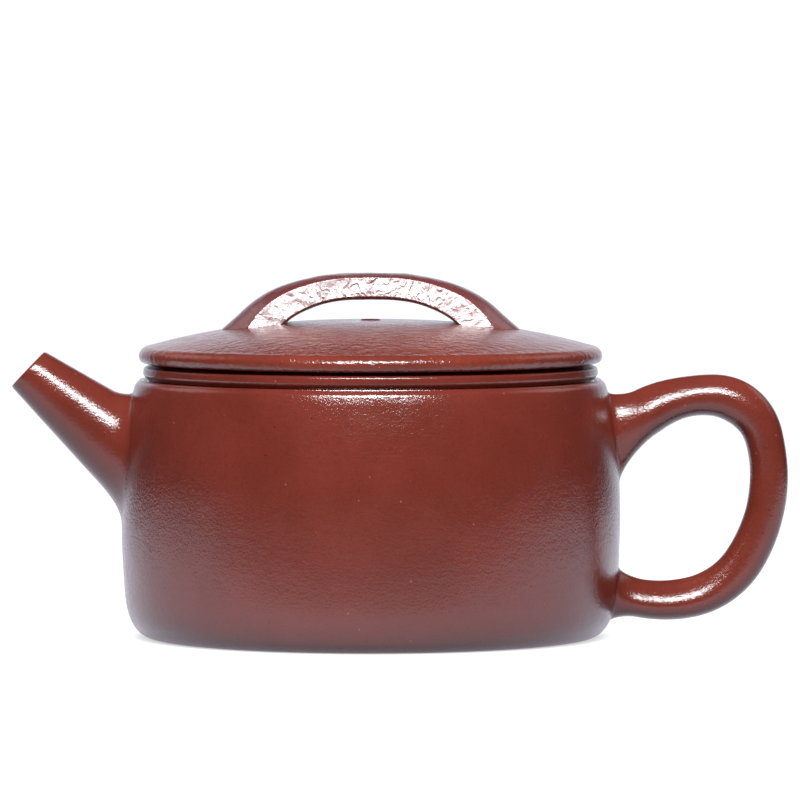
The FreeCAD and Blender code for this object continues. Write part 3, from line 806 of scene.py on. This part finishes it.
def room_light():
    """A pale glow behind the pot, low down; the rest of the room is dim.  Matt reflection
    takes a soft light from overhead instead, and the camera sees plain white."""
    world = bpy.data.worlds.new("studio")
    bpy.context.scene.world = world
    world.use_nodes = True
    tree = world.node_tree
    tree.nodes.clear()
    direction = add_node(tree, "ShaderNodeTexCoord").outputs["Generated"]
    parts = add_node(tree, "ShaderNodeSeparateXYZ", None, None, {0: direction}).outputs
    behind = add_node(tree, "ShaderNodeMapRange", {"interpolation_type": "SMOOTHSTEP"}, {
        "From Min": 0.75, "From Max": 0.96}, {"Value": parts[1]}).outputs[0]
    low = add_node(tree, "ShaderNodeMapRange", {"interpolation_type": "SMOOTHSTEP"}, {
        "From Min": 0.35, "From Max": 0.45, "To Min": 1, "To Max": 0},
        {"Value": parts[2]}).outputs[0]
    share = add_node(tree, "ShaderNodeMath", {"operation": "MULTIPLY"}, None,
                     {0: behind, 1: low}).outputs[0]
    level = add_node(tree, "ShaderNodeMapRange", None, {"To Min": 0.03, "To Max": 1.1},
                     {"Value": share}).outputs[0]
    ray = add_node(tree, "ShaderNodeLightPath").outputs
    above = add_node(tree, "ShaderNodeMath", {"operation": "MAXIMUM"}, {1: 0.0},
                     {0: parts[2]}).outputs[0]
    cubed = add_node(tree, "ShaderNodeMath", {"operation": "POWER"}, {1: 3.0},
                     {0: above}).outputs[0]
    overhead = add_node(tree, "ShaderNodeMath", {"operation": "MULTIPLY_ADD"},
                        {1: 1.4, 2: 0.03}, {0: cubed}).outputs[0]
    level = add_node(tree, "ShaderNodeMix", {"data_type": "FLOAT"}, None,
                     {0: ray["Is Diffuse Ray"], 2: level, 3: overhead}).outputs[0]
    seen = ray["Is Camera Ray"]
    tint = add_node(tree, "ShaderNodeMix", {"data_type": "RGBA"}, {
        6: (0.8, 0.88, 1.0, 1), 7: (1, 1, 1, 1)}, {0: seen}).outputs[2]
    strength = add_node(tree, "ShaderNodeMix", {"data_type": "FLOAT"}, {3: 1.05},
                        {0: seen, 2: level}).outputs[0]
    sky = add_node(tree, "ShaderNodeBackground", None, None,
                   {"Color": tint, "Strength": strength})
    add_node(tree, "ShaderNodeOutputWorld", None, None, {"Surface": sky.outputs[0]})
    bpy.context.scene.view_settings.view_transform = "Standard"
    bpy.context.scene.view_settings.look = "None"


def camera():
    """Just above the table, a long way off, looking along +Y."""
    data = bpy.data.cameras.new("camera")
    data.lens = LENS
    data.sensor_width = SENSOR
    data.clip_end = 100
    eye = bpy.data.objects.new("camera", data)
    eye.location = Vector(EYE)
    eye.rotation_euler = (Vector(AIM) - eye.location).to_track_quat("-Z", "Y").to_euler()
    bpy.context.scene.collection.objects.link(eye)
    bpy.context.scene.camera = eye


# ------------------------------------------------------------------ assembly

camera()
room_light()
studio()

clays = {
    "body_clay": zisha_clay("burnished_body_clay", "762E24", "6B291E"),
    "ring_clay": zisha_clay("burnished_ring_clay", "762E24", "6B291E", crinkle=0.04),
    "spout_clay": zisha_clay("burnished_spout_clay", "783025", "6C2A1F", crinkle=0.04, sheen=0.66),
    "handle_clay": zisha_clay("burnished_handle_clay", "783025", "6C2A1F", crinkle=0.04, sheen=0.66),
    "lid_clay": zisha_clay("burnished_lid_clay", "7F3426", "722D21", crinkle=0.23),
    "knob_clay": zisha_clay("beaten_knob_clay", "7A322D", "6C2C2B", rough=(0.2, 0.5),
                            crinkle=0.08, sheen=1.0, coat=1.0),
    "flange_clay": zisha_clay("scraped_flange_clay", "86392C", "783125", rough=(0.5, 0.62),
                              sheen=0.35),
    "inside_clay": zisha_clay("raw_inside_clay", "82382B", "733025", rough=(0.6, 0.75),
                              sheen=0.3),
}

pieces = [
    (beaten_wall(), "body_wall", "pot", "body_clay"),
    (pressed_base(), "base_plate", "pot", "body_clay"),
    (shoulder_slab(), "shoulder_plate", "pot", "body_clay"),
    (mouth_band(), "mouth_ring", "pot", "ring_clay"),
    (flared_spout(), "spout", "pot", "spout_clay"),
    (pierced_ball(clays["inside_clay"]), "ball_strainer", "pot", "inside_clay"),
    (ear_handle(), "handle", "pot", "handle_clay"),
    (flange_ring(), "lid_flange", "lid_seat", "flange_clay"),
    (rim_slab(), "lid_underplate", "lid", "lid_clay"),
    (domed_slab(), "lid_dome", "lid", "lid_clay"),
    (bridge_knob(), "bridge_knob", "lid", "knob_clay"),
]
for piece, node, body, slot in pieces:
    piece.data.materials.clear()
    piece.data.materials.append(clays[slot])
    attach(piece, body)
    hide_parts(node)
